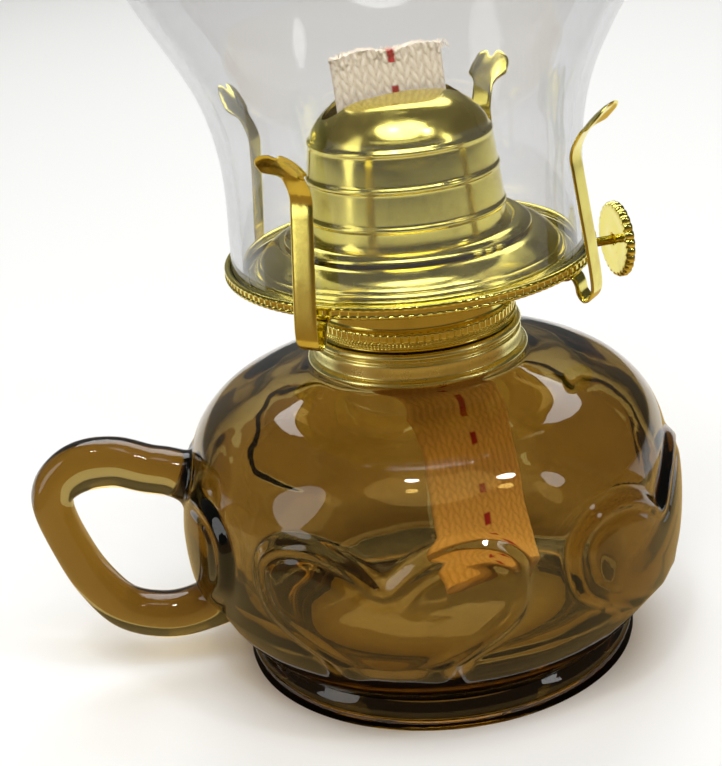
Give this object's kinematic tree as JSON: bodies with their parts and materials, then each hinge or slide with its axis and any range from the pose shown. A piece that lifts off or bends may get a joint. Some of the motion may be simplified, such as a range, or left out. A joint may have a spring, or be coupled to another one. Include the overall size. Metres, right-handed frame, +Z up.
{
  "type": "oil lamp",
  "caption": "Oil lamp with an amber pressed glass font, finger handle and hearts in relief, a brass flat wick burner with sprung prongs, and a clear glass chimney.",
  "frame": {"origin": "on the lamp's axis, at the level of the foot ring that it stands on", "axes": "+Z up the lamp's axis; +X along the wick's width and the spindle, towards the thumb wheel; the handle is near -X"},
  "size_m": [0.139, 0.109, 0.3045],
  "materials": {
    "amber_glass": "fire-polished pressed glass, honey amber to olive",
    "clear_glass": "clear blown glass with a faint lilac tint",
    "brass": "bright brass, polished",
    "plaster": "plaster cement",
    "cotton": "woven cotton wick with a red tracer thread"
  },
  "bodies": {
    "lamp_base": {"font": "amber_glass", "collar": "brass", "collar_cement": "plaster"},
    "burner": {"burner_shell": "brass", "burner_floor": "brass", "wick_tube": "brass", "shaft_bracket": "brass", "shaft_bush": "brass", "air_dish": "brass", "gallery": "brass", "dome": "brass", "prong_rivet_1": "brass", "prong_rivet_2": "brass", "prong_rivet_3": "brass", "prong_rivet_4": "brass"},
    "raiser": {"wick_shaft": "brass", "spur_wheel_1": "brass", "spur_wheel_2": "brass", "spur_wheel_3": "brass", "spur_wheel_4": "brass", "thumb_wheel": "brass"},
    "wick": {"wick": "cotton"},
    "chimney": {"chimney": "clear_glass"},
    "prong_1": {"prong_1": "brass"},
    "prong_2": {"prong_2": "brass"},
    "prong_3": {"prong_3": "brass"},
    "prong_4": {"prong_4": "brass"}
  },
  "joints": [
    {"name": "burner_turn", "type": "hinge", "parent": "lamp_base", "child": "burner", "pos_m": [0, 0, 0.0744], "axis": [0, 0, 1], "range_deg": [0, 360]},
    {"name": "knob_turn", "type": "hinge", "parent": "burner", "child": "raiser", "pos_m": [0, 0.0048, 0.082], "axis": [-1, 0, 0], "range_deg": [-186, 93]},
    {"name": "wick_raise", "type": "slide", "parent": "burner", "child": "wick", "axis": [0, 0, 1], "range_m": [-0.01, 0.005]},
    {"name": "chimney_lift", "type": "slide", "parent": "burner", "child": "chimney", "axis": [0, 0, 1], "range_m": [0, 0.06]},
    {"name": "prong_flex_1", "type": "hinge", "parent": "burner", "child": "prong_1", "pos_m": [0.02475, 0.02475, 0.0876], "axis": [-0.7071, 0.7071, 0], "range_deg": [-1, 2.5], "stiffness_Nm_per_rad": 0.5},
    {"name": "prong_flex_2", "type": "hinge", "parent": "burner", "child": "prong_2", "pos_m": [-0.02475, 0.02475, 0.0876], "axis": [-0.7071, -0.7071, 0], "range_deg": [-1, 2.5], "stiffness_Nm_per_rad": 0.5},
    {"name": "prong_flex_3", "type": "hinge", "parent": "burner", "child": "prong_3", "pos_m": [-0.02475, -0.02475, 0.0876], "axis": [0.7071, -0.7071, 0], "range_deg": [-1, 2.5], "stiffness_Nm_per_rad": 0.5},
    {"name": "prong_flex_4", "type": "hinge", "parent": "burner", "child": "prong_4", "pos_m": [0.02475, -0.02475, 0.0876], "axis": [0.7071, 0.7071, 0], "range_deg": [-1, 2.5], "stiffness_Nm_per_rad": 0.5}
  ],
  "couplings": [
    {"joint": "knob_turn", "follows": "wick_raise", "rad_per_m": 322.58}
  ]
}
